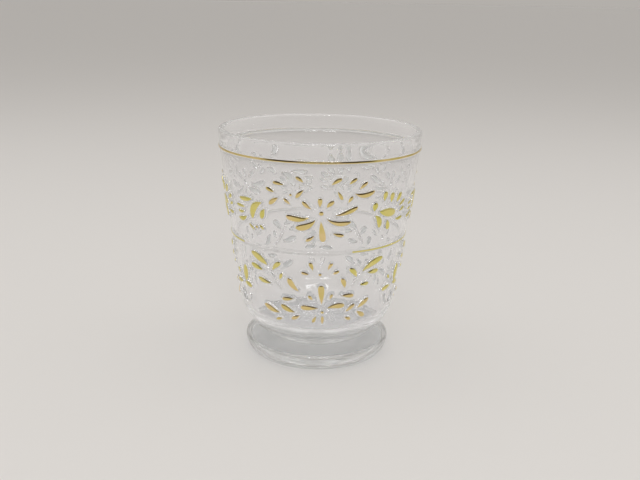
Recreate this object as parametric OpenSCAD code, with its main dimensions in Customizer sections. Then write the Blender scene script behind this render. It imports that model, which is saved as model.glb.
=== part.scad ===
// Clear plastic tumbler: a moulded bowl with raised ornament, a moulded foot
// bonded under it, and gold foil stamped on the raised lines and petals.
// The axis is Z, the table is z = 0 and the front of the ornament faces -Y.

/* [Bowl] */
// Overall height, from the table to the lip
overall_h = 98.8; // [97:0.1:108]
// Outside diameter of the lip
rim_d = 86; // [83:0.5:92]
// Height of the plain band between the rim line and the lip
band_h = 7.5; // [6:0.5:9]
// How far the lip stands out from the plain band
lip_proud = 0.3; // [0.1:0.05:0.5]
// How far the lip's inner edge stands back from the mouth
lip_ease = 0.1; // [0.05:0.05:0.3]
// Wall thickness, measured level
wall_t = 2.2; // [1.6:0.1:3]
// Outside diameter where the straight wall meets the rounded bottom
shoulder_d = 68; // [64:0.5:72]
// Height of that meeting above the table
shoulder_z = 26; // [24:0.5:28]
// Thickness of the bowl's floor above the foot
floor_t = 6.4; // [4:0.2:8]
// Radius of the rounding between the floor and the wall inside
floor_r = 14; // [8:0.5:16]

/* [Foot] */
// Height of the foot's top, where the bowl sits, above the table
foot_h = 7.1; // [6:0.1:8.5]
// Diameter of the bowl's seat on the foot
seat_d = 38.8; // [32:0.2:44]
// Widest diameter of the foot
foot_d = 63.6; // [58:0.2:68]
// Diameter of the ring that stands on the table
base_d = 58; // [52:0.5:60]
// Rounding of the foot's top edge
foot_edge_r = 1.1; // [0.5:0.1:2]
// Diameter of the shallow domed recess under the foot
recess_d = 51; // [40:0.5:53]
// Depth of that recess at its middle
recess_h = 1.2; // [0.4:0.1:2]
// Diameter of the spigot under the bowl
spigot_d = 18; // [12:0.5:24]
// Length of the spigot
spigot_l = 3.2; // [2:0.1:4]
// Clearance round the spigot and below it, filled by the bond
joint_clearance = 0.1; // [0.05:0.05:0.3]

/* [Lines] */
// Height of the waist line above the table
waist_z = 54.3; // [52.5:0.1:56]
// Diameter of the bead's round section, on both lines
bead_d = 1.4; // [1:0.1:2]
// How far the rim line's bead stands out
rim_bead_proud = 0.35; // [0.2:0.05:0.5]
// How far the waist line's bead stands out
waist_bead_proud = 0.5; // [0.3:0.05:0.6]
// Width of the foil on each bead
line_foil_w = 0.9; // [0.5:0.1:1]
// Angle of the waist line left bare at the front
waist_gap = 74; // [20:2:120]
// Azimuth of the middle of that bare stretch
waist_gap_azimuth = -16; // [-40:1:40]

/* [Ornament] */
// How many times the ornament repeats round the bowl
repeats = 3; // [1:1:3]
// Length of one unit in the ornament's rows of strokes and dots
stroke_unit = 1; // [0.9:0.02:1.06]
// Height of the raised ornament
relief_h = 0.8; // [0.3:0.05:1]
// Thickness of the foil
foil_t = 0.15; // [0.1:0.05:0.25]
// Bare margin between a stroke's edge and its foil
foil_margin = 0.2; // [0.1:0.05:0.3]

/* [Hidden] */
$fn = 144;
dot_fn = 32;
// Step round a stroke's head, and the shares of its tail's length where its sides
// have points; the last is where the tip is cut off square
head_step = 30;
tail_stations = [0.4, 0.7, 0.94];
// How deep a raised stroke is rooted in the wall, and how far it is drawn
root_h = wall_t / 4;
stroke_reach = relief_h + foil_t + root_h + 1;

rim_line_z = overall_h - band_h;
band_r = rim_d / 2 - lip_proud;
lip_d = wall_t + lip_proud - lip_ease;
land_r = band_r - wall_t;
floor_z = foot_h + floor_t;
spigot_z = foot_h - spigot_l;

// The wall's slope and its outward normal
shoulder = [shoulder_d / 2, shoulder_z];
wall_tilt = atan((band_r - shoulder.x) / (rim_line_z - shoulder.y));
wall_n = [cos(wall_tilt), -sin(wall_tilt)];

// The rounded bottom is an arc that leaves the wall smoothly and ends at the seat
seat_to_shoulder = shoulder - [seat_d / 2, foot_h];
bottom_r = (seat_to_shoulder * seat_to_shoulder) / (2 * seat_to_shoulder * wall_n);
bottom_c = shoulder - bottom_r * wall_n;

// The rounding inside leaves the floor and the inner wall smoothly
floor_c = [
    land_r + ((floor_z + floor_r - rim_line_z) * sin(wall_tilt) - floor_r) / cos(wall_tilt),
    floor_z + floor_r
];
floor_end = floor_c + floor_r * wall_n;

// The foot's side is an arc, upright at the start of the top edge's rounding
foot_edge_z = foot_h - foot_edge_r;
foot_flare = (foot_d - base_d) / 2;
foot_side_r = (foot_flare * foot_flare + foot_edge_z * foot_edge_z) / (2 * foot_flare);

// The recess under the foot is part of a sphere
recess_r = (recess_d * recess_d / 4 + recess_h * recess_h) / (2 * recess_h);

// Strokes of the ornament, one row each:
// azimuth of the middle, height of the middle above the waist line, direction
// from head to tail (0 to the right, 90 up), length, width, how far the middle bends
// to the left of a line between the ends, share of the length from the head to the
// widest place. Lengths are in stroke units
flower_petals = [
    [0.6, 21.4, -90, 3.8, 2.0, 0, 0.25],
    [-6.6, 20.1, -42, 4.8, 1.7, -0.3, 0.3],
    [6.1, 20.8, -136, 4.0, 1.9, -0.2, 0.4],
    [-11.8, 14.6, -2, 9.3, 2.6, -1.0, 0.3],
    [15.6, 17.4, 200, 9.6, 2.1, 0.6, 0.27],
    [-6.9, 11.9, 25, 8.7, 2.9, -1.2, 0.33],
    [11.2, 13.2, 171, 9.8, 2.2, 1.4, 0.35],
    [2.0, 9.4, 97, 8.8, 2.7, 0, 0.22]
];
arch_leaves = [
    [-4.7, 6.4, 36, 4.2, 1.6, -0.2, 0.35],
    [11.5, 8.0, 165, 4.7, 1.7, 0.2, 0.35],
    [-10.2, 30.5, -36, 3.8, 1.6, 0.2, 0.35],
    [-22, 28.3, -8, 4.9, 1.6, 0.2, 0.35],
    [-27.2, 25.3, -23, 4.0, 1.7, 0.1, 0.35],
    [-25.6, 21.0, 38, 5.4, 2.0, 0.2, 0.4],
    [-17.5, 21.3, -42, 3.6, 1.4, 0, 0.35],
    [-10.4, 24.8, 48, 4.7, 1.7, 0.2, 0.35],
    [9.0, 29.9, 213, 4.8, 1.8, -0.3, 0.35],
    [17.9, 29.9, 218, 3.9, 1.6, -0.1, 0.35],
    [24.1, 27.9, 222, 4.3, 1.7, -0.1, 0.35],
    [25.4, 24.3, 183, 8.8, 2.3, 1.4, 0.42],
    [11.3, 24.3, 120, 4.2, 1.5, 0, 0.35],
    [17.1, 22.5, 238, 3.3, 1.5, 0, 0.35]
];
thistle_heads = [
    [43, 15.3, 170, 9.8, 3.8, 0.2, 0.4],
    [36.4, 12.3, 116, 6.2, 2.6, -1.2, 0.4],
    [44.3, 9.9, 105, 4.6, 2.4, -0.2, 0.35],
    [-38.7, 16.4, 53, 9.6, 3.2, 2.0, 0.45],
    [-33.4, 14.8, 68, 4.8, 2.4, 0.4, 0.4],
    [-42.5, 8.1, -37, 3.8, 1.3, 0, 0.35],
    [-34.7, 8.8, -40, 2.6, 1.4, 0, 0.35]
];
thistle_rays = [
    [32.9, 18.4, -97, 3.8, 2.6, 0, 0.4],
    [39.3, 22.4, -94, 4.1, 2.4, 0, 0.35],
    [45, 21.3, -95, 4.3, 2.6, 0, 0.35],
    [51.5, 20.7, -124, 4.6, 2.6, 0, 0.4],
    [55.6, 18.0, 207, 4.6, 1.8, 0.1, 0.35],
    [56.5, 15.1, 202, 3.8, 1.5, 0, 0.35],
    [54.6, 11.4, 181, 5.4, 1.7, 0.3, 0.35],
    [-45.8, 19.6, 5, 8.0, 2.0, -0.3, 0.45],
    [-51, 16.1, -2, 6.0, 1.5, 0, 0.35],
    [-51, 13.7, 5, 4.2, 1.5, -0.4, 0.4],
    [-50.2, 11.0, 16, 6.0, 2.0, -0.8, 0.4]
];
lily_petals = [
    [2.6, -18.1, -87, 8.7, 2.7, 0, 0.2],
    [-5.0, -24.1, -1, 7.2, 2.4, -0.1, 0.22],
    [12.4, -23.4, 186, 7.3, 2.6, -0.6, 0.3],
    [3.7, -29.6, -90, 3.9, 1.4, 0, 0.4],
    [-1.8, -29.3, 66, 3.4, 1.4, 0, 0.35],
    [-4.4, -19.5, -50, 2.7, 1.4, 0, 0.4],
    [8.9, -18.9, 248, 2.6, 1.3, 0, 0.35]
];
lily_crown = [
    [-3.9, -5.6, -68, 3.8, 1.7, 0.3, 0.3],
    [7.4, -5.5, 241, 3.6, 1.5, -0.3, 0.3],
    [-7.8, -8.8, -13, 3.2, 1.5, 0, 0.35],
    [11.3, -8.3, 209, 3.0, 1.5, -0.1, 0.35]
];
lily_leaves = [
    [-15.8, -14.4, -53, 7.1, 2.5, -0.7, 0.3],
    [-19.7, -20.8, 9, 5.1, 1.9, -0.1, 0.4],
    [-19.9, -25.5, -25, 6.7, 2.4, -0.4, 0.3],
    [-32.2, -26.7, -20, 7.8, 2.6, -0.4, 0.35],
    [-26.8, -30.6, 22, 3.3, 1.4, 0, 0.4],
    [-14.6, -28.9, 30, 4.1, 1.8, 0, 0.4],
    [16.7, -13.1, -70, 4.8, 2.1, 0.4, 0.35],
    [20, -18.9, 174, 5.6, 2.1, -0.1, 0.3],
    [22.6, -24.7, 221, 5.0, 1.8, 0.1, 0.35],
    [32.2, -23.4, 217, 6.3, 2.3, 0, 0.33],
    [31, -28.1, 143, 5.0, 2.1, 0, 0.3],
    [21.3, -29.3, 150, 3.2, 1.6, 0, 0.35]
];
sprig_leaves = [
    [-39.3, -4.9, -27, 9.4, 3.2, 0.5, 0.45],
    [-42, -9.2, -12, 6.9, 2.4, 0, 0.35],
    [-36.5, -14.6, -11, 6.6, 2.2, -0.2, 0.35],
    [-26.8, -6.9, 225, 5.6, 2.1, -0.4, 0.3],
    [-23.8, -11.2, 249, 3.2, 1.5, 0, 0.35],
    [36.3, -6.1, 204, 11.2, 3.0, -0.8, 0.38],
    [37.4, -9.7, 181, 5.5, 2.3, 0, 0.35],
    [31.4, -14.6, 180, 4.4, 1.8, 0, 0.35],
    [23, -8.8, -50, 5.4, 2.2, 0.6, 0.35]
];
bud_petals = [
    [64.5, -14.2, -95, 7.8, 3.6, 0, 0.5],
    [54.3, -14.6, -46, 2.9, 1.5, 0, 0.35],
    [53.6, -19.4, 6, 6.2, 2.3, 0, 0.4],
    [66, -19.0, 170, 5.2, 2.4, 0, 0.4]
];
// Strokes that stay bare: the sprigs' stems, one lily drop and the bud's leaves
bare_strokes = [
    [-28.9, -12.5, -53, 10.2, 0.8, -0.3, 0.4],
    [26, -11.6, 233, 7.6, 0.8, 0, 0.4],
    [9.9, -28.8, 130, 3.1, 1.3, 0, 0.35],
    [56.5, -25.3, -70, 5.4, 1.7, 0, 0.4],
    [64.5, -25.6, 245, 4.6, 1.7, 0, 0.4]
];
// Round dots, one row each: azimuth, height above the waist line, diameter
dots = [
    [1.4, 17.0, 1.9],
    [-15.3, 24.1, 1.2],
    [-38.6, 8.6, 1.4],
    [3.5, -26.0, 1.4],
    [1.5, -9.1, 1.4]
];
foiled_strokes = concat(
    flower_petals, arch_leaves, thistle_heads, thistle_rays,
    lily_petals, lily_crown, lily_leaves, sprig_leaves, bud_petals
);

// The wall's slope at a height: steady above the shoulder, then turning under
function tilt_at(z) = z > shoulder.y ? wall_tilt : asin((bottom_c.y - z) / bottom_r);

// The wall's outside radius at a height
function wall_r(z) = z > shoulder.y
    ? shoulder.x + (z - shoulder.y) * tan(wall_tilt)
    : bottom_c.x + bottom_r * cos(tilt_at(z));

// Section of what lies inside the wall's outer surface, moved out by grow
module wall_region(grow = 0) {
    grown_shoulder = shoulder + grow * wall_n;
    top = [band_r, rim_line_z] + grow * wall_n;
    polygon([[0, grown_shoulder.y], grown_shoulder, top, [0, top.y]]);
    intersection() {
        translate(bottom_c) circle(bottom_r + grow);
        translate([0, foot_h]) square([rim_d, grown_shoulder.y - foot_h]);
    }
    translate([0, foot_h]) square([bottom_c.x, grown_shoulder.y - foot_h]);
}

// Section of the space inside the bowl
module cavity_region() {
    polygon([[0, floor_end.y], floor_end, [land_r, rim_line_z], [0, rim_line_z]]);
    intersection() {
        translate(floor_c) circle(floor_r);
        translate([0, floor_z]) square([rim_d, floor_end.y - floor_z]);
    }
    translate([0, floor_z]) square([floor_c.x, floor_end.y - floor_z]);
    translate([0, rim_line_z]) square([land_r, band_h + lip_d]);
}

// Centre of the round section of a bead that stands out from radius r
function bead_c(r, proud, z) = [r + proud - bead_d / 2, z];
rim_bead_c = bead_c(band_r, rim_bead_proud, rim_line_z);
waist_bead_c = bead_c(wall_r(waist_z), waist_bead_proud, waist_z);

module bowl_section() {
    difference() {
        union() {
            wall_region();
            translate([0, rim_line_z]) square([band_r, band_h - lip_d / 2]);
            translate([rim_d / 2 - lip_d / 2, overall_h - lip_d / 2]) circle(d = lip_d);
            translate(rim_bead_c) circle(d = bead_d);
            translate(waist_bead_c) circle(d = bead_d);
            translate([0, spigot_z]) square([spigot_d / 2, spigot_l + floor_t / 2]);
        }
        cavity_region();
    }
}

module foot_section() {
    difference() {
        union() {
            intersection() {
                translate([foot_d / 2 - foot_side_r, foot_edge_z]) circle(foot_side_r);
                square([foot_d, foot_edge_z]);
            }
            square([foot_d / 2 - foot_side_r, foot_edge_z]);
            translate([0, foot_edge_z]) square([foot_d / 2 - foot_edge_r, foot_edge_r]);
            intersection() {
                translate([foot_d / 2 - foot_edge_r, foot_edge_z]) circle(foot_edge_r);
                translate([0, foot_edge_z]) square([foot_d, foot_edge_r]);
            }
        }
        translate([0, recess_h - recess_r]) circle(recess_r);
        translate([0, spigot_z - joint_clearance])
            square([spigot_d / 2 + joint_clearance, spigot_l + 2 * joint_clearance]);
    }
}

// A brush stroke along a bent middle line, a parabola. Its half width is that of an
// ellipse from the head to the widest place, and then closes in with the square of
// the distance towards the tip
module stroke_outline(length, width, bend, belly, margin) {
    drawn = length - 2 * margin;
    widest = (belly * length - margin) / drawn;
    head = [for (a = [0 : head_step : 90]) [widest * (1 - cos(a)), sin(a)]];
    tail = [for (t = tail_stations) [widest + (1 - widest) * t, 1 - t * t]];
    side = concat(head, tail);
    function middle(x) = [x, bend * (1 / 3 - 4 * x * x / (length * length))];
    function lean(x) = atan(-8 * bend * x / (length * length));
    function edge(s, hand) = let (x = drawn * (s.x - 0.5), h = hand * s.y * (width / 2 - margin))
        middle(x) + h * [-sin(lean(x)), cos(lean(x))];
    polygon(concat(
        [for (s = side) edge(s, -1)],
        [for (i = [len(side) - 1 : -1 : 1]) edge(side[i], 1)]
    ));
}

// Draws children on the wall's tangent plane, through the wall, at each repeat
module on_wall(azimuth, rise) {
    z = waist_z + rise * stroke_unit;
    for (turn = [0 : repeats - 1])
        rotate(azimuth + turn * 360 / repeats)
            translate([0, -wall_r(z), z])
                rotate([90 + tilt_at(z), 0, 0])
                    translate([0, 0, -stroke_reach])
                        linear_extrude(2 * stroke_reach) children();
}

module strokes(rows, margin = 0) {
    for (s = rows) {
        size = stroke_unit * [s[3], s[4], s[5]];
        on_wall(s[0], s[1])
            rotate(s[2]) stroke_outline(size.x, size.y, size.z, s[6], margin);
    }
}

module round_dots(margin = 0) {
    for (d = dots)
        on_wall(d[0], d[1]) circle(d = d[2] * stroke_unit - 2 * margin, $fn = dot_fn);
}

// The layer that follows the wall from one height above it to another
module wall_layer(from, to) {
    rotate_extrude() difference() {
        wall_region(to);
        wall_region(from);
    }
}

module bowl() {
    color([0.9, 0.92, 0.93, 0.35]) {
        rotate_extrude() bowl_section();
        intersection() {
            wall_layer(-root_h, relief_h);
            union() {
                strokes(foiled_strokes);
                strokes(bare_strokes);
                round_dots();
            }
        }
    }
}

module foot() {
    color([0.88, 0.9, 0.92, 0.45]) rotate_extrude() foot_section();
}

// Foil on the crest of a bead, over part of a turn
module line_foil(center, from, sweep) {
    rotate(from) rotate_extrude(angle = sweep) translate(center) intersection() {
        difference() {
            circle(d = bead_d + 2 * foil_t);
            circle(d = bead_d);
        }
        translate([0, -line_foil_w / 2]) square([bead_d, line_foil_w]);
    }
}

module foil(rows) {
    color("goldenrod") intersection() {
        wall_layer(relief_h, relief_h + foil_t);
        strokes(rows, foil_margin);
    }
}

module rim_line_foil() {
    color("goldenrod") line_foil(rim_bead_c, 0, 360);
}

// The front of the cup lies a quarter turn before the start of a sweep
module waist_line_foil() {
    color("goldenrod")
        line_foil(waist_bead_c, waist_gap_azimuth + waist_gap / 2 - 90, 360 - waist_gap);
}

module dot_foil() {
    color("goldenrod") intersection() {
        wall_layer(relief_h, relief_h + foil_t);
        round_dots(foil_margin);
    }
}

module flower_petal_foil() { foil(flower_petals); }
module arch_leaf_foil() { foil(arch_leaves); }
module thistle_head_foil() { foil(thistle_heads); }
module thistle_ray_foil() { foil(thistle_rays); }
module lily_petal_foil() { foil(lily_petals); }
module lily_crown_foil() { foil(lily_crown); }
module lily_leaf_foil() { foil(lily_leaves); }
module sprig_leaf_foil() { foil(sprig_leaves); }
module bud_petal_foil() { foil(bud_petals); }

bowl();
foot();
rim_line_foil();
waist_line_foil();
flower_petal_foil();
arch_leaf_foil();
thistle_head_foil();
thistle_ray_foil();
lily_petal_foil();
lily_crown_foil();
lily_leaf_foil();
sprig_leaf_foil();
bud_petal_foil();
dot_foil();
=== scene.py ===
import math

import bmesh
import bpy
import numpy as np
from mathutils import Matrix, Vector
from mathutils.geometry import delaunay_2d_cdt


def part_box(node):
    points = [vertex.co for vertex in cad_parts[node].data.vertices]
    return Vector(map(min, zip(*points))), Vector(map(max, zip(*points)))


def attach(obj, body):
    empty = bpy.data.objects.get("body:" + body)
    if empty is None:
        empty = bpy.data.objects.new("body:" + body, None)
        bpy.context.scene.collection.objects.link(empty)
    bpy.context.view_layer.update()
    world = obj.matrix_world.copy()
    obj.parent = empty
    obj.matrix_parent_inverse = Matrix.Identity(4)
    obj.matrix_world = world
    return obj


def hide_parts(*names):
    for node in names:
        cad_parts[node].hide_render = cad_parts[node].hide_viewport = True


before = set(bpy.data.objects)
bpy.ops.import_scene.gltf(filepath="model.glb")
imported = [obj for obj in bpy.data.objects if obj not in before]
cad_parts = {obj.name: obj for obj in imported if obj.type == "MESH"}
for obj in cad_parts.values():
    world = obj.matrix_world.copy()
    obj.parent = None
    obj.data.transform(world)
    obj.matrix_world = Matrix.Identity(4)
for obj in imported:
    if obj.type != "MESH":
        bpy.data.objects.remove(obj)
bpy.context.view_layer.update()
print("frame loaded:", len(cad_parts), "nodes")

mm = 0.001  # shapes are worked out in millimetres and put into the meshes in metres
weldDistance = 0.002  # mm within which the points of two strips become one
scene = bpy.context.scene


def linearColour(hexText):
    # each sRGB channel c becomes c / 12.92, or ((c + 0.055) / 1.055) ^ 2.4 above the toe
    channels = np.array([int(hexText[i:i + 2], 16) for i in (1, 3, 5)]) / 255
    linear = np.where(channels > 0.04045, ((channels + 0.055) / 1.055) ** 2.4, channels / 12.92)
    return (*linear.tolist(), 1.0)


def addNode(tree, kind, inputs=None, **settings):
    # an input is a value to set, or another node's output socket to link from
    node = tree.nodes.new(kind)
    for name, value in settings.items():
        setattr(node, name, value)
    for socket, value in (inputs or {}).items():
        if isinstance(value, bpy.types.NodeSocket):
            tree.links.new(value, node.inputs[socket])
        else:
            node.inputs[socket].default_value = value
    return node


def newMaterial(name):
    material = bpy.data.materials.new(name)
    material.use_nodes = True
    material.node_tree.nodes.clear()
    return material, material.node_tree


# Materials

clearSettings = {
    "tint": "#FDFDFE",
    "ior": 1.49,  # acrylic
    "hazeSize": 9.0,  # mm, patches of slightly duller polish
    "hazeRange": (0.4, 0.75),  # noise values between which the polish goes from low to high
    "hazeLow": 0.0,
    "hazeHigh": 0.05,
    "flowSize": 14.0,  # mm, slow waves left by the melt in the mould
    "flowDepth": 0.012,  # mm
    "shadeTint": "#D6D7D6",  # painted shade: a grey tint on what is seen through the foot's top and edge, for the shade under the foot
    "deepShadeTint": "#C5C6C5",  # a darker painted shade on the foot's side and low on the bowl
    "lampPass": "#F6F7F8",  # what each face lets through of the light that falls past the cup
}


def mouldedAcrylic(name, outerShadeTint):
    # Clear acrylic from a polished mould: bends light strongly, and its gloss is faintly uneven; a painted
    # shade can be given to it, a grey tint on what is seen through its outer faces but not on the way out
    material, tree = newMaterial(name)
    place = addNode(tree, "ShaderNodeTexCoord").outputs["Object"]
    haze = addNode(tree, "ShaderNodeTexNoise", {
        "Vector": place, "Scale": 1 / (clearSettings["hazeSize"] * mm), "Detail": 3.0})
    roughness = addNode(tree, "ShaderNodeMapRange", {
        "Value": haze.outputs["Fac"],
        "From Min": clearSettings["hazeRange"][0], "From Max": clearSettings["hazeRange"][1],
        "To Min": clearSettings["hazeLow"], "To Max": clearSettings["hazeHigh"]})
    flow = addNode(tree, "ShaderNodeTexNoise", {
        "Vector": place, "Scale": 1 / (clearSettings["flowSize"] * mm), "Detail": 1.0})
    bump = addNode(tree, "ShaderNodeBump", {
        "Height": flow.outputs["Fac"], "Distance": clearSettings["flowDepth"] * mm})
    # painted shade: front faces take the given shade tint, back faces the clear tint
    tint = addNode(tree, "ShaderNodeMix", {
        "Factor": addNode(tree, "ShaderNodeNewGeometry").outputs["Backfacing"],
        "A": linearColour(outerShadeTint), "B": linearColour(clearSettings["tint"])}, data_type="RGBA")
    shader = addNode(tree, "ShaderNodeBsdfPrincipled", {
        "Base Color": tint.outputs["Result"], "Roughness": roughness.outputs["Result"],
        "IOR": clearSettings["ior"], "Transmission Weight": 1.0, "Normal": bump.outputs["Normal"]})
    # light on its way to the table goes straight through, so that the cup throws only a faint shadow
    path = addNode(tree, "ShaderNodeLightPath").outputs
    straight = addNode(tree, "ShaderNodeBsdfTransparent", {
        "Color": linearColour(clearSettings["lampPass"])})
    surface = shader
    for kind in ("Is Diffuse Ray", "Is Shadow Ray"):
        surface = addNode(tree, "ShaderNodeMixShader", {
            0: path[kind], 1: surface.outputs[0], 2: straight.outputs["BSDF"]})
    addNode(tree, "ShaderNodeOutputMaterial", {"Surface": surface.outputs["Shader"]})
    return material


def bondedFace():
    # Where plastic meets plastic or foil with no air between, so light goes straight on
    material, tree = newMaterial("acrylicBondedFace")
    shader = addNode(tree, "ShaderNodeBsdfTransparent")
    addNode(tree, "ShaderNodeOutputMaterial", {"Surface": shader.outputs["BSDF"]})
    return material


foilSettings = {
    "gold": "#F0D8A0",
    "goldDeep": "#E2CF82",
    "lemon": "#EFE294",  # painted reflection: the greener tone that gold foil shows when seen at a slant, given to the motifs at the sides
    "slantReflectionDeep": "#E2D97A",
    "slantReflectionNodes": (
        "thistle_head_foil", "thistle_ray_foil", "sprig_leaf_foil", "bud_petal_foil", "waist_line_foil"),
    "backPale": "#F4F3EF",
    "backDull": "#E8E7E3",
    "patchSize": 6.0,  # mm, slow changes of tone
    "patchRange": (0.35, 0.65),
    "grainSize": 0.35,  # mm, the fine crush of the stamped film
    "grainRange": (0.3, 0.7),
    "grainDepth": 0.002,  # mm
    "roughLow": 0.13,
    "roughHigh": 0.22,
}


def stampedFoil(name, colour, colourDeep, metallic):
    # Metallised film pressed on hot: a satin metal, evenly toned, with a fine crushed grain, and on
    # its back a pale coat of size that takes the shine off
    material, tree = newMaterial(name)
    place = addNode(tree, "ShaderNodeTexCoord").outputs["Object"]
    patch = addNode(tree, "ShaderNodeTexNoise", {
        "Vector": place, "Scale": 1 / (foilSettings["patchSize"] * mm), "Detail": 4.0})
    grain = addNode(tree, "ShaderNodeTexNoise", {
        "Vector": place, "Scale": 1 / (foilSettings["grainSize"] * mm), "Detail": 2.0})
    share = addNode(tree, "ShaderNodeMapRange", {
        "Value": patch.outputs["Fac"],
        "From Min": foilSettings["patchRange"][0], "From Max": foilSettings["patchRange"][1]})
    tone = addNode(tree, "ShaderNodeMix", {
        "Factor": share.outputs["Result"], "A": linearColour(colour), "B": linearColour(colourDeep)},
        data_type="RGBA")
    roughness = addNode(tree, "ShaderNodeMapRange", {
        "Value": grain.outputs["Fac"],
        "From Min": foilSettings["grainRange"][0], "From Max": foilSettings["grainRange"][1],
        "To Min": foilSettings["roughLow"], "To Max": foilSettings["roughHigh"]})
    bump = addNode(tree, "ShaderNodeBump", {
        "Height": grain.outputs["Fac"], "Distance": foilSettings["grainDepth"] * mm})
    shader = addNode(tree, "ShaderNodeBsdfPrincipled", {
        "Base Color": tone.outputs["Result"], "Metallic": metallic,
        "Roughness": roughness.outputs["Result"], "Normal": bump.outputs["Normal"]})
    addNode(tree, "ShaderNodeOutputMaterial", {"Surface": shader.outputs["BSDF"]})
    return material


clearPlastic = mouldedAcrylic("acrylicMouldedClear", clearSettings["tint"])
# painted shade on the foot's top and edge, and a darker painted shade on its side and the bowl's low arc
paintedShadePlastic = mouldedAcrylic("acrylicMouldedPaintedShade", clearSettings["shadeTint"])
paintedDeepShadePlastic = mouldedAcrylic("acrylicMouldedPaintedDeepShade", clearSettings["deepShadeTint"])
bonded = bondedFace()
goldFoil = stampedFoil("foilStampedGold", foilSettings["gold"], foilSettings["goldDeep"], 1.0)
# painted reflection: gold with the greener tone of foil seen at a slant, for the motifs at the sides and
# the waist line
slantReflectionFoil = stampedFoil("foilStampedGoldPaintedSlantReflection", foilSettings["lemon"], foilSettings["slantReflectionDeep"], 1.0)
foilBack = stampedFoil("foilSizedBack", foilSettings["backPale"], foilSettings["backDull"], 0.0)
print("materials made")


# Mesh parts: each is an array of points, an array of faces and a material number

class MeshParts:
    def __init__(self):
        self.points, self.faces, self.materials = [], [], []
        self.count = 0

    def add(self, points, faces, material):
        # faces are index arrays with one row per face; several arrays may share the points
        points = np.asarray(points, float).reshape(-1, 3)
        for rows in faces if isinstance(faces, list) else [faces]:
            self.faces += (np.asarray(rows) + self.count).tolist()
            self.materials.append(np.broadcast_to(material, len(rows)))
        self.points.append(points)
        self.count += len(points)


def makePiece(name, parts, materials, node, sharpAngle=35):
    # an edge at which the faces turn by more degrees than sharpAngle isn't shaded smooth
    mesh = bpy.data.meshes.new(name)
    mesh.from_pydata((np.concatenate(parts.points) * mm).tolist(), [], parts.faces)
    mesh.polygons.foreach_set("material_index", np.concatenate(parts.materials).astype(np.int32))
    weld = bmesh.new()
    weld.from_mesh(mesh)
    bmesh.ops.remove_doubles(weld, verts=weld.verts, dist=weldDistance * mm)
    openEdges = sum(1 for edge in weld.edges if len(edge.link_faces) != 2)
    weld.to_mesh(mesh)
    weld.free()
    for material in materials:
        mesh.materials.append(material)
    mesh.shade_smooth()
    mesh.set_sharp_from_angle(angle=math.radians(sharpAngle))
    piece = bpy.data.objects.new(name, mesh)
    scene.collection.objects.link(piece)
    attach(piece, "root")
    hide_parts(node)
    print("made", name, "-", len(mesh.polygons), "faces, open edges", openEdges)


def gridFaces(rows, columns, closed):
    # four corners of each cell of a grid; with closed, the last column joins the first
    i = np.arange(rows - 1)[:, None]
    j = np.arange(columns if closed else columns - 1)[None, :]
    k = (j + 1) % columns
    return np.stack(np.broadcast_arrays(
        i * columns + j, i * columns + k, (i + 1) * columns + k, (i + 1) * columns + j), -1).reshape(-1, 4)


def turned(radius, height, azimuth):
    # a profile of radii and heights carried round the axis; azimuth 0 faces the front
    radius, height = np.asarray(radius, float)[:, None], np.asarray(height, float)[:, None]
    return np.stack(np.broadcast_arrays(
        radius * np.sin(azimuth), -radius * np.cos(azimuth), height + 0 * azimuth), -1)


def arc(centre, radius, start, end, count):
    # points of a circle from one angle to another, in degrees from the +r direction
    angle = np.radians(np.linspace(start, end, count))
    return centre[0] + radius * np.cos(angle), centre[1] + radius * np.sin(angle)


# The bowl's and foot's sizes in millimetres, as on the drawing

bowlShape = {
    "lipWidth": 86.0,
    "bandHeight": 7.5,
    "lipProud": 0.3,
    "lipRound": 1.2,
    "lipSquare": 2.6,  # power of the lip's section, where 2 would be half a circle
    "lipEase": 0.3,  # height over which the lip runs into the wall inside
    "wall": 2.2,
    "shoulderWidth": 68.0,
    "shoulderHeight": 26.0,
    "shadeHeight": 17.8,  # the bowl is thick below this height
    "floorThickness": 6.4,
    # below this height the bowl's outer face carries the darker painted shade
    "floorRound": 14.0,
    "seatWidth": 38.8,
    "spigotWidth": 18.0,
    "waistHeight": 54.3,
    # the rim line's slope, in degrees outwards on the way up, at heights in millimetres from its middle
    "rimHeights": (-0.7, -0.5, -0.25, 0.0, 0.15, 0.6, 0.8, 1.0),
    "rimSlopes": (0, 40, 35, 0, -17, -17, -38, 0),
    "waistBead": 0.35,
    "waistBeadHalf": 1.2,
    "turnSteps": 288,
    # points along the parts of the section
    "shadeSteps": 12,
    "bottomSteps": 5,
    "waistSteps": 19,
    "rimSteps": 21,
    "bandSteps": 4,
    "lipSteps": 21,
    "wallSteps": 5,
    "roundSteps": 22,
    "floorSteps": 4,
}
footShape = {
    "baseWidth": 58.0,
    "edgeRound": 1.1,
    "baseRound": 0.5,
    "recessWidth": 51.0,
    "recessDepth": 1.2,
    "recessSteps": 20,
    "sideSteps": 20,
    "edgeSteps": 10,
    "baseSteps": 7,
}

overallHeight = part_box("bowl")[1].z / mm
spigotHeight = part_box("bowl")[0].z / mm
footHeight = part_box("foot")[1].z / mm
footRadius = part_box("foot")[1].x / mm

rimHeight = overallHeight - bowlShape["bandHeight"]
bandRadius = bowlShape["lipWidth"] / 2 - bowlShape["lipProud"]
landRadius = bandRadius - bowlShape["wall"]
shoulderRadius, shoulderHeight = bowlShape["shoulderWidth"] / 2, bowlShape["shoulderHeight"]
seatRadius = bowlShape["seatWidth"] / 2
waistHeight = bowlShape["waistHeight"]
slope = math.atan((bandRadius - shoulderRadius) / (rimHeight - shoulderHeight))

# The rounded bottom is an arc that leaves the wall smoothly and ends at the seat
run, climb = shoulderRadius - seatRadius, shoulderHeight - footHeight
bottomRadius = (run * run + climb * climb) / (2 * (run * math.cos(slope) - climb * math.sin(slope)))
bottomCentre = (
    shoulderRadius - bottomRadius * math.cos(slope), shoulderHeight + bottomRadius * math.sin(slope))

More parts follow.
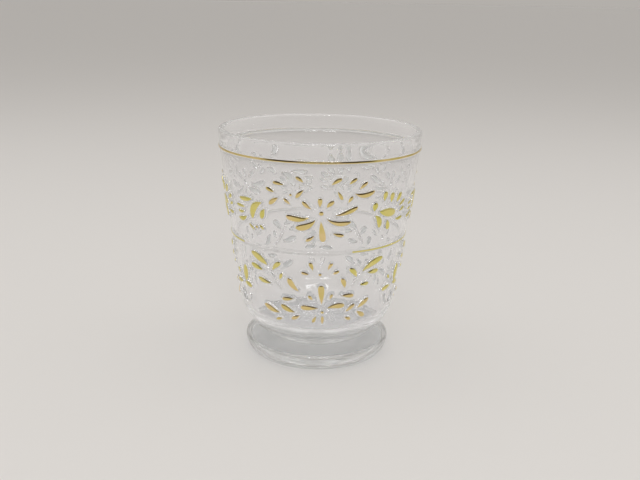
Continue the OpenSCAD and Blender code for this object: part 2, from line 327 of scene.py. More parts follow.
# The rounding inside leaves the floor and the inner wall smoothly
floorHeight = footHeight + bowlShape["floorThickness"]
floorRound = bowlShape["floorRound"]
floorCentreHeight = floorHeight + floorRound
floorCentre = (
    landRadius + ((floorCentreHeight - rimHeight) * math.sin(slope) - floorRound) / math.cos(slope),
    floorCentreHeight)

azimuths = np.arange(bowlShape["turnSteps"]) * 2 * math.pi / bowlShape["turnSteps"]


def addStrip(parts, profile, material):
    # a ring of a piece's skin: the profile carried all round the axis
    points = turned(*profile, azimuths)
    parts.add(points, gridFaces(len(points), len(azimuths), True), material)


def wallTilt(height):
    # steady above the shoulder, then the angle of the bottom's arc
    under = np.arcsin(np.clip((bottomCentre[1] - height) / bottomRadius, -1, 1))
    return np.where(height > shoulderHeight, slope, under)


def wallRadius(height):
    # a straight line above the shoulder, and the bottom's arc below it
    straight = shoulderRadius + (height - shoulderHeight) * math.tan(slope)
    under = bottomCentre[0] + bottomRadius * np.cos(wallTilt(height))
    return np.where(height > shoulderHeight, straight, under)


def onWall(azimuth, height, lift):
    # the point of the outer wall at an azimuth and height, moved out along the wall's normal
    tilt = wallTilt(height)
    radius = wallRadius(height) + lift * np.cos(tilt)
    return np.stack([
        radius * np.sin(azimuth), -radius * np.cos(azimuth), height - lift * np.sin(tilt)], -1)


# The raised ornament: brush strokes, one row each, repeated three times round the bowl.
# A row holds the azimuth of the middle, its height above the waist line, the direction from
# head to tail (0 to the right, 90 up), the length, the width, how far the middle bends to the
# left of a line between the ends, and the share of the length from the head to the widest place.
# The rows are grouped by the node of their foil; those under bare have none.

strokeRows = {
    "flower_petal_foil": [
        (0.6, 21.4, -90, 3.8, 2.0, 0, 0.25), (-6.6, 20.1, -42, 4.8, 1.7, -0.3, 0.3),
        (6.1, 20.8, -136, 4.0, 1.9, -0.2, 0.4), (-11.8, 14.6, -2, 9.3, 2.6, -1.0, 0.3),
        (15.6, 17.4, 200, 9.6, 2.1, 0.6, 0.27), (-6.9, 11.9, 25, 8.7, 2.9, -1.2, 0.33),
        (11.2, 13.2, 171, 9.8, 2.2, 1.4, 0.35), (2.0, 9.4, 97, 8.8, 2.7, 0, 0.22)],
    "arch_leaf_foil": [
        (-4.7, 6.4, 36, 4.2, 1.6, -0.2, 0.35), (11.5, 8.0, 165, 4.7, 1.7, 0.2, 0.35),
        (-10.2, 30.5, -36, 3.8, 1.6, 0.2, 0.35), (-22, 28.3, -8, 4.9, 1.6, 0.2, 0.35),
        (-27.2, 25.3, -23, 4.0, 1.7, 0.1, 0.35), (-25.6, 21.0, 38, 5.4, 2.0, 0.2, 0.4),
        (-17.5, 21.3, -42, 3.6, 1.4, 0, 0.35), (-10.4, 24.8, 48, 4.7, 1.7, 0.2, 0.35),
        (9.0, 29.9, 213, 4.8, 1.8, -0.3, 0.35), (17.9, 29.9, 218, 3.9, 1.6, -0.1, 0.35),
        (24.1, 27.9, 222, 4.3, 1.7, -0.1, 0.35), (25.4, 24.3, 183, 8.8, 2.3, 1.4, 0.42),
        (11.3, 24.3, 120, 4.2, 1.5, 0, 0.35), (17.1, 22.5, 238, 3.3, 1.5, 0, 0.35)],
    "thistle_head_foil": [
        (43, 15.3, 170, 9.8, 3.8, 0.2, 0.4), (36.4, 12.3, 116, 6.2, 2.6, -1.2, 0.4),
        (44.3, 9.9, 105, 4.6, 2.4, -0.2, 0.35), (-38.7, 16.4, 53, 9.6, 3.2, 2.0, 0.45),
        (-33.4, 14.8, 68, 4.8, 2.4, 0.4, 0.4), (-42.5, 8.1, -37, 3.8, 1.3, 0, 0.35),
        (-34.7, 8.8, -40, 2.6, 1.4, 0, 0.35)],
    "thistle_ray_foil": [
        (32.9, 18.4, -97, 3.8, 2.6, 0, 0.4), (39.3, 22.4, -94, 4.1, 2.4, 0, 0.35),
        (45, 21.3, -95, 4.3, 2.6, 0, 0.35), (51.5, 20.7, -124, 4.6, 2.6, 0, 0.4),
        (55.6, 18.0, 207, 4.6, 1.8, 0.1, 0.35), (56.5, 15.1, 202, 3.8, 1.5, 0, 0.35),
        (54.6, 11.4, 181, 5.4, 1.7, 0.3, 0.35), (-45.8, 19.6, 5, 8.0, 2.0, -0.3, 0.45),
        (-51, 16.1, -2, 6.0, 1.5, 0, 0.35), (-51, 13.7, 5, 4.2, 1.5, -0.4, 0.4),
        (-50.2, 11.0, 16, 6.0, 2.0, -0.8, 0.4)],
    "lily_petal_foil": [
        (2.6, -18.1, -87, 8.7, 2.7, 0, 0.2), (-5.0, -24.1, -1, 7.2, 2.4, -0.1, 0.22),
        (12.4, -23.4, 186, 7.3, 2.6, -0.6, 0.3), (3.7, -29.6, -90, 3.9, 1.4, 0, 0.4),
        (-1.8, -29.3, 66, 3.4, 1.4, 0, 0.35), (-4.4, -19.5, -50, 2.7, 1.4, 0, 0.4),
        (8.9, -18.9, 248, 2.6, 1.3, 0, 0.35)],
    "lily_crown_foil": [
        (-3.9, -5.6, -68, 3.8, 1.7, 0.3, 0.3), (7.4, -5.5, 241, 3.6, 1.5, -0.3, 0.3),
        (-7.8, -8.8, -13, 3.2, 1.5, 0, 0.35), (11.3, -8.3, 209, 3.0, 1.5, -0.1, 0.35)],
    "lily_leaf_foil": [
        (-15.8, -14.4, -53, 7.1, 2.5, -0.7, 0.3), (-19.7, -20.8, 9, 5.1, 1.9, -0.1, 0.4),
        (-19.9, -25.5, -25, 6.7, 2.4, -0.4, 0.3), (-32.2, -26.7, -20, 7.8, 2.6, -0.4, 0.35),
        (-26.8, -30.6, 22, 3.3, 1.4, 0, 0.4), (-14.6, -28.9, 30, 4.1, 1.8, 0, 0.4),
        (16.7, -13.1, -70, 4.8, 2.1, 0.4, 0.35), (20, -18.9, 174, 5.6, 2.1, -0.1, 0.3),
        (22.6, -24.7, 221, 5.0, 1.8, 0.1, 0.35), (32.2, -23.4, 217, 6.3, 2.3, 0, 0.33),
        (31, -28.1, 143, 5.0, 2.1, 0, 0.3), (21.3, -29.3, 150, 3.2, 1.6, 0, 0.35)],
    "sprig_leaf_foil": [
        (-39.3, -4.9, -27, 9.4, 3.2, 0.5, 0.45), (-42, -9.2, -12, 6.9, 2.4, 0, 0.35),
        (-36.5, -14.6, -11, 6.6, 2.2, -0.2, 0.35), (-26.8, -6.9, 225, 5.6, 2.1, -0.4, 0.3),
        (-23.8, -11.2, 249, 3.2, 1.5, 0, 0.35), (36.3, -6.1, 204, 11.2, 3.0, -0.8, 0.38),
        (37.4, -9.7, 181, 5.5, 2.3, 0, 0.35), (31.4, -14.6, 180, 4.4, 1.8, 0, 0.35),
        (23, -8.8, -50, 5.4, 2.2, 0.6, 0.35)],
    "bud_petal_foil": [
        (64.5, -14.2, -95, 7.8, 3.6, 0, 0.5), (54.3, -14.6, -46, 2.9, 1.5, 0, 0.35),
        (53.6, -19.4, 6, 6.2, 2.3, 0, 0.4), (66, -19.0, 170, 5.2, 2.4, 0, 0.4)],
    "bare": [
        (-28.9, -12.5, -53, 10.2, 0.8, -0.3, 0.4), (26, -11.6, 233, 7.6, 0.8, 0, 0.4),
        (9.9, -28.8, 130, 3.1, 1.3, 0, 0.35), (56.5, -25.3, -70, 5.4, 1.7, 0, 0.4),
        (64.5, -25.6, 245, 4.6, 1.7, 0, 0.4)],
}
# Round dots: azimuth, height above the waist line and diameter
dotRows = [(1.4, 17.0, 1.9), (-15.3, 24.1, 1.2), (-38.6, 8.6, 1.4), (3.5, -26.0, 1.4), (1.5, -9.1, 1.4)]

reliefShape = {
    "repeats": 3,
    # slope of the raised form, in degrees, at distances in millimetres in from the drawn outline
    "distances": (-0.42, -0.32, -0.1, 0.0, 0.55, 0.8),
    "slopes": (0, 60, 60, 29, 25, 0),
    "profileSteps": 96,
    "reach": 2.0,  # mm round a stroke in which it can raise the wall
    "foilEdge": 0.1,  # mm from the outline in to the edge of the foil
    "foilGap": 0.01,
    "foilThickness": 0.05,
    "rings": (0.0, 0.25, 0.5, 0.75, 1.0),  # shares of the way from the foil's edge to the ridge
    "flankRings": (0.02, 0.12, 0.24, 0.34, 0.44),  # mm outside the outline
    "tipDraw": 0.12,  # share of the tail by which the ridge stops short of the tip
    "headAngles": (0, 18, 36, 54, 72, 90),  # degrees round the head's ellipse
    "tailStations": (0.2, 0.4, 0.6, 0.78, 0.92, 1.0),  # shares of the way from there to the tip
    "dotSteps": 20,
}
third = 2 * math.pi / reliefShape["repeats"]


def strokeRings(rows, grow, shares):
    # Rings from the outline of each stroke, grown by some millimetres, to its ridge. The middle line
    # is the parabola bend (1/3 - 4 x^2 / length^2). The half width is that of an ellipse from the
    # head to the widest place, and then falls as 1 - t^2, with t from 0 there to 1 at the tip.
    turn, length, width, bend, belly = np.array(rows, float).T[2:, :, None, None]
    drawn, half = length + 2 * grow, width / 2 + grow
    widest = (belly * length + grow) / drawn
    angle, tail = np.radians(reliefShape["headAngles"]), np.array(reliefShape["tailStations"])
    u = np.concatenate([widest * (1 - np.cos(angle)), widest + (1 - widest) * tail], -1)
    h = half * np.concatenate([np.sin(angle), 1 - tail * tail])
    # along the right side to the tip, and back along the left side
    u, h = np.concatenate([u, u[..., -2:0:-1]], -1), np.concatenate([-h, h[..., -2:0:-1]], -1)
    x = drawn * (u - 0.5)
    lean = np.arctan(-8 * bend * x / length ** 2)
    # the ridge starts half a width in from the head and stops short of the tip
    ridgeStart = half / drawn
    ridgeX = drawn * (ridgeStart + (1 - reliefShape["tipDraw"] - ridgeStart) * u - 0.5)
    share = np.array(shares)[None, :, None]
    y = (1 - share) * (bend * (1 / 3 - 4 * (x / length) ** 2) + h * np.cos(lean))
    y = y + share * bend * (1 / 3 - 4 * (ridgeX / length) ** 2)
    x = (1 - share) * (x - h * np.sin(lean)) + share * ridgeX
    turn = np.radians(turn)
    return x * np.cos(turn) - y * np.sin(turn), x * np.sin(turn) + y * np.cos(turn)


def dotRings(rows, grow, shares):
    # Rings from the outline of each dot, grown by some millimetres, to its crown
    radius = (np.array(rows, float)[:, 2] / 2 + grow)[:, None, None]
    radius = radius * (1 - np.array(shares)[None, :, None])
    angle = np.arange(reliefShape["dotSteps"]) * 2 * math.pi / reliefShape["dotSteps"]
    return radius * np.cos(angle), radius * np.sin(angle)


def wrapOnWall(rows, x, y):
    # millimetres on the wall round a row's middle become an azimuth and a height
    rows = np.array(rows, float)
    middle = waistHeight + rows[:, 1, None, None]
    azimuth = np.radians(rows[:, 0, None, None]) + x / wallRadius(middle)
    return azimuth, middle + y * np.cos(wallTilt(middle))


# the ridge point below each point of a stroke's ring
stationCount = len(reliefShape["headAngles"]) + len(reliefShape["tailStations"])
strokeFold = np.concatenate([np.arange(stationCount), np.arange(stationCount - 2, 0, -1)])
dotFold = np.zeros(reliefShape["dotSteps"], int)
groups = {node: (strokeRings, rows, strokeFold) for node, rows in strokeRows.items()}
groups["dot_foil"] = (dotRings, dotRows, dotFold)

# Each stroke's outline in millimetres round its own middle, for distances on the wall
outlines = []
for ringsOf, rows, fold in groups.values():
    outlineX, outlineY = ringsOf(rows, 0, (0.0,))
    for row, oneX, oneY in zip(rows, outlineX[:, 0], outlineY[:, 0]):
        halfWidth = (row[4] if len(row) > 3 else row[2]) / 2
        outlines.append((
            math.radians(row[0]), waistHeight + row[1], halfWidth, np.stack([oneX, oneY], -1)))


def outlineDistance(points, outline):
    # distance to a closed outline, positive inside: the nearest point of its sides, and the
    # inside by counting the sides that a level line to the right crosses
    following = np.roll(outline, -1, 0)
    side = following - outline
    toPoint = points[:, None] - outline[None]
    along = np.clip((toPoint * side).sum(-1) / (side * side).sum(-1), 0, 1)
    gap = np.linalg.norm(toPoint - along[..., None] * side, axis=-1).min(1)
    crosses = (outline[None, :, 1] > points[:, None, 1]) != (following[None, :, 1] > points[:, None, 1])
    share = toPoint[..., 1] / np.where(side[:, 1] == 0, 1, side[:, 1])
    right = crosses & (toPoint[..., 0] < share * side[:, 0])
    return np.where(right.sum(1) % 2 == 1, gap, -gap)


profileDistance = np.array(reliefShape["distances"])
profileSlope = np.tan(np.radians(reliefShape["slopes"]))
profileStep = np.linspace(profileDistance[0], profileDistance[-1], reliefShape["profileSteps"])
profileHeight = np.cumsum(np.interp(profileStep, profileDistance, profileSlope))
profileHeight *= profileStep[1] - profileStep[0]


def raised(distance, halfWidth):
    # height at a distance in from the outline: the sum of the slopes up to there; inside a stroke
    # that is too narrow for the whole profile, the rest of it is drawn smaller
    share = min(1.0, halfWidth / profileDistance[-1])
    atOutline = np.interp(0.0, profileStep, profileHeight)
    inside = share * (np.interp(distance / share, profileStep, profileHeight) - atOutline)
    return np.where(distance < 0, np.interp(distance, profileStep, profileHeight), atOutline + inside)


def reliefAt(azimuth, height):
    # height of the ornament on the wall, and the distance to the nearest outline; where raised
    # forms meet, the fourth root of the sum of fourth powers joins them smoothly
    shape = azimuth.shape
    azimuth, height = azimuth.reshape(-1), height.reshape(-1)
    total, nearest = np.zeros(len(azimuth)), np.full(len(azimuth), -np.inf)
    for middleAzimuth, middleHeight, halfWidth, outline in outlines:
        x = ((azimuth - middleAzimuth + third / 2) % third - third / 2) * float(wallRadius(middleHeight))
        y = (height - middleHeight) / math.cos(float(wallTilt(middleHeight)))
        reach = np.abs(outline).max(0) + reliefShape["reach"]
        near = np.flatnonzero((np.abs(x) < reach[0]) & (np.abs(y) < reach[1]))
        distance = outlineDistance(np.stack([x[near], y[near]], -1), outline)
        total[near] += raised(distance, halfWidth) ** 4
        nearest[near] = np.maximum(nearest[near], distance)
    return (total ** 0.25).reshape(shape), nearest.reshape(shape)


def makeDomes(ringsOf, rows, fold):
    # the rings of each stroke from the foil's edge to its ridge, on the wall and raised
    azimuth, height = wrapOnWall(rows, *ringsOf(rows, -reliefShape["foilEdge"], reliefShape["rings"]))
    return azimuth, height, reliefAt(azimuth, height)[0], fold


def domeFaces(rings, fold):
    # quads between the rings of one dome, and faces that close its last ring on the ridge
    count = len(fold)
    quads = gridFaces(rings, count, True)
    i = np.arange(count)
    k = (i + 1) % count
    last = (rings - 1) * count
    ridge = rings * count + fold
    flat = fold[i] == fold[k]
    caps = np.stack([last + i, last + k, ridge[k]], -1)[flat]
    strips = np.stack([last + i, last + k, ridge[k], ridge[i]], -1)[~flat]
    return quads, caps, strips


def addDomes(parts, domes, lift, material, turnBack=False):
    # each dome of a group, at each repeat round the bowl
    azimuth, height, rise, fold = domes
    faces = list(domeFaces(rise.shape[1] - 1, fold))
    if turnBack:
        faces = [rows[:, ::-1] for rows in faces]
    ridgePoint = np.unique(fold, return_index=True)[1]
    for turn in range(reliefShape["repeats"]):
        points = onWall(azimuth + turn * third, height, rise + lift)
        for one in points:
            parts.add(np.concatenate([one[:-1].reshape(-1, 3), one[-1][ridgePoint]]), faces, material)


allDomes = {node: makeDomes(*group) for node, group in groups.items()}
print("ornament:", len(outlines), "strokes and dots in each third")


# The wall round the strokes, one third of a turn, filled with triangles

wallShape = {
    "spacing": 1.2,  # mm between points on the plain wall
    "stagger": 0.25,  # share of a step by which every other row is moved
    "plainGap": 0.3,  # mm between those points and the strokes' flanks
    "clear": 0.09,  # mm that a flank's points keep from another stroke
    "fade": 0.5,  # mm over which the relief dies away at a raised line
    "upperStart": -58.75,  # azimuth where no stroke of the upper band lies
    "lowerStart": -48.75,  # and of the lower band
    "lowerEdge": 21.2,  # height where the ornament's ground begins
    "nearest": 1e-5,  # mm, points closer than this are one
}


def wallSheet(start, bottom, top):
    # points on a third of the band, joined by triangles that leave each foiled face open
    scale = float(wallRadius(0.5 * (bottom + top)))
    first = math.radians(start)
    columns = bowlShape["turnSteps"] // reliefShape["repeats"]
    rowCount = int(round((top - bottom) / wallShape["spacing"]))
    gridAzimuth = first + third * np.arange(columns + 1) / columns
    gridHeight = np.linspace(bottom, top, rowCount + 1)
    edge = np.concatenate([
        np.stack([gridAzimuth, 0 * gridAzimuth + bottom], -1),
        np.stack([0 * gridHeight[1:] + gridAzimuth[-1], gridHeight[1:]], -1),
        np.stack([gridAzimuth[-2::-1], 0 * gridAzimuth[1:] + top], -1),
        np.stack([0 * gridHeight[-2:0:-1] + gridAzimuth[0], gridHeight[-2:0:-1]], -1)])
    holes, flank = [], []
    for node, (ringsOf, rows, fold) in groups.items():
        azimuth, height = allDomes[node][0][:, 0], allDomes[node][1][:, 0]
        inBand = (height.min(1) > bottom) & (height.max(1) < top)
        holes += list(np.stack([azimuth, height], -1)[inBand])
        for grow in reliefShape["flankRings"]:
            azimuth, height = wrapOnWall(rows, *ringsOf(rows, grow, (0.0,)))
            flank.append(np.stack([azimuth, height], -1)[inBand].reshape(-1, 2))
    flank = np.concatenate(flank)
    margin = np.array([wallShape["fade"] / scale, wallShape["fade"]])
    inside = np.all((flank > (first, bottom) + margin) & (flank < (first + third, top) - margin), axis=-1)
    flank = flank[inside & (reliefAt(*flank.T)[1] < reliefShape["foilEdge"] - wallShape["clear"])]
    cell = np.round(flank * (scale, 1) / wallShape["clear"]).astype(int)
    flank = flank[np.sort(np.unique(cell, axis=0, return_index=True)[1])]
    stagger = np.where(np.arange(1, rowCount) % 2, 1, -1)[:, None] * wallShape["stagger"] * third / columns
    plain = np.stack(np.broadcast_arrays(
        gridAzimuth[None, 1:-1] + stagger, gridHeight[1:-1, None]), -1).reshape(-1, 2)
    plain = plain[reliefAt(*plain.T)[1] < -reliefShape["flankRings"][-1] - wallShape["plainGap"]]
    flatPoints = np.concatenate([edge, *holes, flank, plain]) * (scale, 1)
    loop = np.arange(len(edge))
    starts = len(edge) + np.cumsum([0] + [len(hole) for hole in holes])
    filled = delaunay_2d_cdt(
        [Vector(p) for p in flatPoints], np.stack([loop, np.roll(loop, -1)], -1).tolist(),
        [list(range(a, b)) for a, b in zip(starts[:-1], starts[1:])], 0, wallShape["nearest"])
    points = np.array([tuple(p) for p in filled[0]]) / (scale, 1)
    shared = sum(1 for owners in filled[5] if len(owners) > 1)
    faces = np.array([face for face, owners in zip(filled[2], filled[5]) if not owners])
    lift = reliefAt(*points.T)[0]
    lift *= np.clip((points[:, 1] - bottom) / wallShape["fade"], 0, 1)
    lift *= np.clip((top - points[:, 1]) / wallShape["fade"], 0, 1)
    print("wall sheet:", len(holes), "strokes,", len(faces), "triangles, shared", shared)
    return points[:, 0], points[:, 1], lift, faces


# Bowl

lineFoil = {
    "rimFrom": -0.3,
    "rimTo": 0.6,
    "waistHalf": 0.4,
    "gapFrom": -53.0,  # degrees, the stretch of the waist line that has lost its foil
    "gapTo": 21.0,
    "wornSteps": 230,
    "thickness": 0.05,
    "gap": 0.01,
}
rimFoil = (rimHeight + lineFoil["rimFrom"], rimHeight + lineFoil["rimTo"])
waistFoil = (waistHeight - lineFoil["waistHalf"], waistHeight + lineFoil["waistHalf"])


def waistProfile():
    # the waist line's section is the square of a cosine over its width
    share = np.linspace(-1, 1, bowlShape["waistSteps"])
    height = waistHeight + share * bowlShape["waistBeadHalf"]
    lift = bowlShape["waistBead"] * np.cos(share * math.pi / 2) ** 2
    tilt = wallTilt(height)
    return wallRadius(height) + lift * np.cos(tilt), height - lift * np.sin(tilt)


def rimProfile():
    # the sum of the slopes on the way up, brought back to the wall at the top
    heights, slopes = np.array(bowlShape["rimHeights"]), np.tan(np.radians(bowlShape["rimSlopes"]))
    step = np.linspace(heights[0], heights[-1], bowlShape["rimSteps"])
    lift = np.cumsum(np.interp(step, heights, slopes)) * (step[1] - step[0])
    lift -= lift[-1] * (step - step[0]) / (step[-1] - step[0])
    height = rimHeight + step
    return np.where(height < rimHeight, wallRadius(height), bandRadius) + lift, height


def foiledAzimuth():
    # true for each step round the bowl whose middle is where the waist line still has its foil
    degrees = (np.degrees(azimuths) + 180 / bowlShape["turnSteps"] + 180) % 360 - 180
    return (degrees < lineFoil["gapFrom"]) | (degrees > lineFoil["gapTo"])


def makeBowl():
    parts = MeshParts()
    plastics = [clearPlastic, bonded, paintedDeepShadePlastic]
    clear, joined, paintedDeepShade = range(len(plastics))
    waistLow, waistHigh = (waistHeight + side * bowlShape["waistBeadHalf"] for side in (-1, 1))
    rimLow, rimHigh = (rimHeight + bowlShape["rimHeights"][end] for end in (0, -1))
    # spigot, seat and rounded bottom
    spigotRadius = bowlShape["spigotWidth"] / 2
    addStrip(parts, ([0, spigotRadius], [spigotHeight, spigotHeight]), joined)
    addStrip(parts, ([spigotRadius, spigotRadius], [spigotHeight, footHeight]), joined)
    addStrip(parts, ([spigotRadius, seatRadius], [footHeight, footHeight]), joined)
    startAngle = math.degrees(math.atan2(footHeight - bottomCentre[1], seatRadius - bottomCentre[0]))
    edgeAngle = -math.degrees(float(wallTilt(wallShape["lowerEdge"])))
    shadeAngle = -math.degrees(float(wallTilt(bowlShape["shadeHeight"])))
    shadeArc = arc(bottomCentre, bottomRadius, startAngle, shadeAngle, bowlShape["shadeSteps"])
    plainArc = arc(bottomCentre, bottomRadius, shadeAngle, edgeAngle, bowlShape["bottomSteps"])
    # painted shade: the rounded bottom from the seat up to that height takes the darker grey tint
    addStrip(parts, shadeArc, paintedDeepShade)
    addStrip(parts, plainArc, clear)
    # wall and ornament
    bands = [
        (wallShape["lowerStart"], wallShape["lowerEdge"], waistLow),
        (wallShape["upperStart"], waistHigh, rimLow)]
    for start, bottom, top in bands:
        azimuth, height, lift, faces = wallSheet(start, bottom, top)
        for turn in range(reliefShape["repeats"]):
            parts.add(onWall(azimuth + turn * third, height, lift), faces, clear)
    for node, domes in allDomes.items():
        addDomes(parts, domes, 0, clear if node == "bare" else joined)
    # raised lines; the stretch under the foil is bonded
    lines = (
        (waistProfile(), waistFoil, foiledAzimuth()),
        (rimProfile(), rimFoil, np.full(len(azimuths), True)))
    for profile, (low, high), around in lines:
        middle = 0.5 * (profile[1][1:] + profile[1][:-1])
        covered = ((middle > low) & (middle < high))[:, None] & around[None, :]
        addStrip(parts, profile, np.where(covered.reshape(-1), joined, clear))
    # plain band, lip, land, inner wall, rounding and floor
    lipRound = bowlShape["lipRound"]
    lipCentre = (bowlShape["lipWidth"] / 2 - lipRound, overallHeight - lipRound)
    # the lip is squarer than a circle: the sine and cosine are raised to 2 / power
    lipR, lipZ = (
        middle + lipRound * np.sign(part) * np.abs(part) ** (2 / bowlShape["lipSquare"])
        for middle, part in zip(lipCentre, arc((0, 0), 1.0, 0, 180, bowlShape["lipSteps"])))
    band, wall, floor = (bowlShape[key] for key in ("bandSteps", "wallSteps", "floorSteps"))
    addStrip(parts, (np.linspace(bandRadius, lipR[0], band), np.linspace(rimHigh, lipZ[0], band)), clear)
    addStrip(parts, (lipR, lipZ), clear)
    landZ = [lipZ[-1], lipZ[-1] - bowlShape["lipEase"], rimHeight]
    addStrip(parts, ([lipR[-1], landRadius, landRadius], landZ), clear)
    roundR, roundZ = arc(floorCentre, floorRound, -math.degrees(slope), -90, bowlShape["roundSteps"])
    innerWall = (np.linspace(landRadius, roundR[0], wall), np.linspace(rimHeight, roundZ[0], wall))
    addStrip(parts, innerWall, clear)
    addStrip(parts, (roundR, roundZ), clear)
    addStrip(parts, (np.linspace(roundR[-1], 0, floor), np.full(floor, floorHeight)), clear)
    makePiece("bowlMoulding", parts, plastics, "bowl", sharpAngle=50)


makeBowl()


# Foot

def makeFoot():
    parts = MeshParts()
    plastics = [paintedShadePlastic, bonded, clearPlastic, paintedDeepShadePlastic]
    paintedShade, joined, clear, paintedDeepShade = range(len(plastics))
    edgeRound, baseRound = footShape["edgeRound"], footShape["baseRound"]
    edgeHeight = footHeight - edgeRound
    flare = footRadius - footShape["baseWidth"] / 2
    sideRound = (flare * flare + edgeHeight * edgeHeight) / (2 * flare)
    sideCentre = (footRadius - sideRound, edgeHeight)
    recessRadius, recessDepth = footShape["recessWidth"] / 2, footShape["recessDepth"]
    spigotRadius = bowlShape["spigotWidth"] / 2
    baseRadius = footShape["baseWidth"] / 2
    # the base's edge is rounded off between the standing ring and the side's arc
    sideStart = -math.degrees(math.acos((baseRadius + 0.5 * baseRound - sideCentre[0]) / sideRound))
    sideR, sideZ = arc(sideCentre, sideRound, sideStart, 0, footShape["sideSteps"])
    # the recess is a shallow dome, part of a sphere
    domeRadius = (recessRadius ** 2 + recessDepth ** 2) / (2 * recessDepth)
    domeEnd = math.degrees(math.acos(recessRadius / domeRadius))
    dome = arc((0, recessDepth - domeRadius), domeRadius, 90, domeEnd, footShape["recessSteps"])
    addStrip(parts, dome, clear)
    addStrip(parts, ([recessRadius, baseRadius - baseRound], [0, 0]), clear)
    ease = np.linspace(0, 1, footShape["baseSteps"])
    cornerR = (1 - ease) ** 2 * (baseRadius - baseRound)
    cornerR = cornerR + 2 * ease * (1 - ease) * baseRadius + ease ** 2 * sideR[0]
    # painted shade: the base's corner and the side take the darker grey tint
    addStrip(parts, (cornerR, ease ** 2 * sideZ[0]), paintedDeepShade)
    addStrip(parts, (sideR, sideZ), paintedDeepShade)
    edge = arc((footRadius - edgeRound, edgeHeight), edgeRound, 0, 90, footShape["edgeSteps"])
    # painted shade: the top edge and the flat top take the grey tint
    addStrip(parts, edge, paintedShade)
    addStrip(parts, ([footRadius - edgeRound, seatRadius], [footHeight, footHeight]), paintedShade)
    addStrip(parts, ([seatRadius, spigotRadius], [footHeight, footHeight]), joined)
    addStrip(parts, ([spigotRadius, spigotRadius], [footHeight, spigotHeight]), joined)
    addStrip(parts, ([spigotRadius, 0], [spigotHeight, spigotHeight]), joined)
    makePiece("footMoulding", parts, plastics, "foot")


makeFoot()


# Foil

faceSide, backSide = range(2)  # places in a film's list of materials


def foilFaces(node):
    # the materials of a film's face and back; the motifs at the sides take the gold with the painted slant
    # reflection
    return [slantReflectionFoil if node in foilSettings["slantReflectionNodes"] else goldFoil, foilBack]


def makeStrokeFoil(node, domes):
    # a closed film over each dome: its gold face, its pale back and the edge between them
    parts = MeshParts()
    low, high = reliefShape["foilGap"], reliefShape["foilGap"] + reliefShape["foilThickness"]
    addDomes(parts, domes, high, faceSide)
    addDomes(parts, domes, low, backSide, turnBack=True)
    azimuth, height, rise, fold = (domes[0][:, 0], domes[1][:, 0], domes[2][:, 0], domes[3])
    faces = gridFaces(2, len(fold), True)
    for turn in range(reliefShape["repeats"]):
        under = onWall(azimuth + turn * third, height, rise + low)
        over = onWall(azimuth + turn * third, height, rise + high)
        for pair in np.stack([under, over], 1):
            parts.add(pair, faces, faceSide)
    words = node.split("_")
    name = words[0] + "".join(word.capitalize() for word in words[1:])
    makePiece(name, parts, foilFaces(node), node)


def makeLineFoil(name, node, profile, foiled, worn):
    # a closed film on the crest of a raised line, all round or up to the worn stretch
    radius, height = profile
    inside = (height > foiled[0]) & (height < foiled[1])
    radius, height = radius[inside], height[inside]
    if worn:
        around = np.radians(np.linspace(
            lineFoil["gapTo"], lineFoil["gapFrom"] + 360, lineFoil["wornSteps"]))
    else:
        around = azimuths
    low, high = lineFoil["gap"], lineFoil["gap"] + lineFoil["thickness"]
    outer = turned(radius + high, height, around)
    inner = turned(radius + low, height, around)
    parts = MeshParts()
    count = len(around)
    faces = gridFaces(len(radius), count, not worn)
    parts.add(outer, faces, faceSide)
    parts.add(inner, faces[:, ::-1], backSide)
    edgeFaces = gridFaces(2, count, not worn)
    parts.add(np.stack([inner[0], outer[0]]), edgeFaces, faceSide)
    parts.add(np.stack([outer[-1], inner[-1]]), edgeFaces, faceSide)
    if worn:
        endFaces = gridFaces(2, len(radius), False)
        parts.add(np.stack([outer[:, 0], inner[:, 0]]), endFaces, faceSide)
        parts.add(np.stack([inner[:, -1], outer[:, -1]]), endFaces, faceSide)
    makePiece(name, parts, foilFaces(node), node)


for nodeName, domes in allDomes.items():
    if nodeName != "bare":
        makeStrokeFoil(nodeName, domes)
makeLineFoil("rimLineFoil", "rim_line_foil", rimProfile(), rimFoil, False)
makeLineFoil("waistLineFoil", "waist_line_foil", waistProfile(), waistFoil, True)


# Floor, light and camera

stageSettings = {
    "floorColour": "#E2DFDC",
    "floorRoughness": 0.75,
    "floorSize": 60.0,  # m
    "floorDrop": 0.06,  # mm of air under the foot
    "tentColour": "#CFCDCA",
    "openingColour": "#2E1C14",
    "backColour": "#B3AFAA",
    # where each change of the tent begins and ends, on a ball of radius 1 round the cup
    "openingSide": (-0.3, -0.55),
    "openingTop": (0.58, 0.5),
    "openingFoot": (0.08, 0.18),
    "backRise": (0.35, 0.02),
    "panelSize": (0.4, 0.8),
    "panelPlace": (0.45, 0.15, 0.75),
    "panelAim": (0.0, 0.15, 0.0),
    "panelPower": 0.9,
    "stripSize": (0.42, 0.2),
    "stripPlace": (0.27, -1.2, 0.92),
    "stripAim": (0.0, 0.0, 0.04),
    "stripPower": 3.6,
    "bounces": 32,
}


def makeFloor():
    # pale matt board
    size = stageSettings["floorSize"]
    mesh = bpy.data.meshes.new("floor")
    drop = -stageSettings["floorDrop"] * mm
    corners = [(-size, -size, drop), (size, -size, drop), (size, size, drop), (-size, size, drop)]
    mesh.from_pydata(corners, [], [(0, 1, 2, 3)])
    material, tree = newMaterial("paperBoardPale")
    shader = addNode(tree, "ShaderNodeBsdfPrincipled", {
        "Base Color": linearColour(stageSettings["floorColour"]),
        "Roughness": stageSettings["floorRoughness"]})
    addNode(tree, "ShaderNodeOutputMaterial", {"Surface": shader.outputs["BSDF"]})
    mesh.materials.append(material)
    floor = bpy.data.objects.new("floor", mesh)
    scene.collection.objects.link(floor)


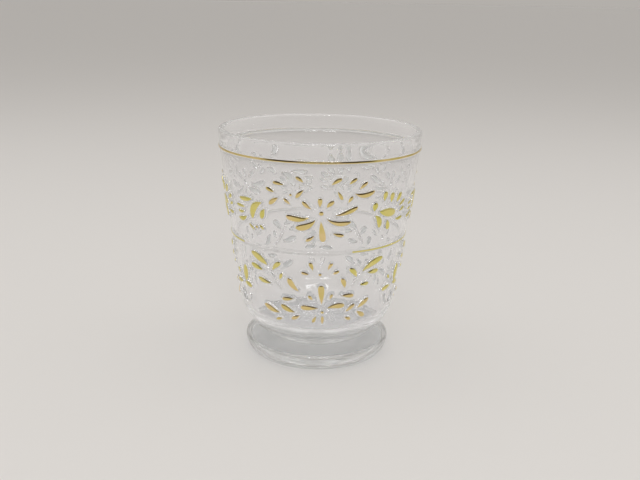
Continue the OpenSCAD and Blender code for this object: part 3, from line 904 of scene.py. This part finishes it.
def makeWorld():
    # a light tent: pale all round, with a dim opening on the front side, low down, and its foot at
    # the back as grey as the far end of the table
    world = bpy.data.worlds.new("lightTent")
    scene.world = world
    world.use_nodes = True
    tree = world.node_tree
    tree.nodes.clear()
    ray = addNode(tree, "ShaderNodeTexCoord").outputs["Generated"]
    axes = addNode(tree, "ShaderNodeSeparateXYZ", {"Vector": ray}).outputs
    ramps = {}
    for name, axis in (("openingSide", "Y"), ("openingTop", "Z"), ("openingFoot", "Z"), ("backRise", "Z")):
        ramps[name] = addNode(tree, "ShaderNodeMapRange", {
            "Value": axes[axis], "From Min": stageSettings[name][0], "From Max": stageSettings[name][1]},
            interpolation_type="SMOOTHSTEP").outputs["Result"]
    between = addNode(tree, "ShaderNodeMath", {
        0: ramps["openingFoot"], 1: ramps["openingTop"]}, operation="MULTIPLY")
    opening = addNode(tree, "ShaderNodeMath", {
        0: ramps["openingSide"], 1: between.outputs["Value"]}, operation="MULTIPLY")
    tent = addNode(tree, "ShaderNodeMix", {
        "Factor": ramps["backRise"], "A": linearColour(stageSettings["tentColour"]),
        "B": linearColour(stageSettings["backColour"])}, data_type="RGBA")
    colour = addNode(tree, "ShaderNodeMix", {
        "Factor": opening.outputs["Value"], "A": tent.outputs["Result"],
        "B": linearColour(stageSettings["openingColour"])}, data_type="RGBA")
    background = addNode(tree, "ShaderNodeBackground", {"Color": colour.outputs["Result"]})
    addNode(tree, "ShaderNodeOutputWorld", {"Surface": background.outputs["Background"]})


def makeLamp(name, size, place, aim, power):
    lamp = bpy.data.lights.new(name, "AREA")
    lamp.shape = "RECTANGLE"
    lamp.size, lamp.size_y = size
    lamp.energy = power
    holder = bpy.data.objects.new(name, lamp)
    holder.location = place
    holder.rotation_euler = (Vector(aim) - Vector(place)).to_track_quat("-Z", "Y").to_euler()
    scene.collection.objects.link(holder)


cameraSettings = {
    "place": (0.0, -0.3473, 0.1504),
    "pitch": 73.68,  # degrees from straight down
    "roll": 1.04,
    "lens": 46.125,
    "sensor": 36.0,
    "shift": 0.0027,
    "clip": 0.01,  # m
}


def makeCamera():
    data = bpy.data.cameras.new("camera")
    data.lens = cameraSettings["lens"]
    data.sensor_width = cameraSettings["sensor"]
    data.shift_x = cameraSettings["shift"]
    data.clip_start = cameraSettings["clip"]
    camera = bpy.data.objects.new("camera", data)
    tilt = Matrix.Rotation(math.radians(cameraSettings["pitch"]), 4, "X")
    roll = Matrix.Rotation(math.radians(cameraSettings["roll"]), 4, "Z")
    camera.matrix_world = Matrix.Translation(cameraSettings["place"]) @ tilt @ roll
    scene.collection.objects.link(camera)
    scene.camera = camera


makeFloor()
makeWorld()
for side in (-1, 1):
    for lamp in ("panel", "strip"):
        lampX, lampY, lampZ = stageSettings[lamp + "Place"]
        makeLamp(
            lamp, stageSettings[lamp + "Size"], (side * lampX, lampY, lampZ), stageSettings[lamp + "Aim"],
            stageSettings[lamp + "Power"])
makeCamera()
scene.view_settings.view_transform = "Standard"
# light bounces many times inside clear plastic before it leaves
for limit in ("max_bounces", "glossy_bounces", "transmission_bounces", "transparent_max_bounces"):
    setattr(scene.cycles, limit, stageSettings["bounces"])
print("floor, light and camera made")
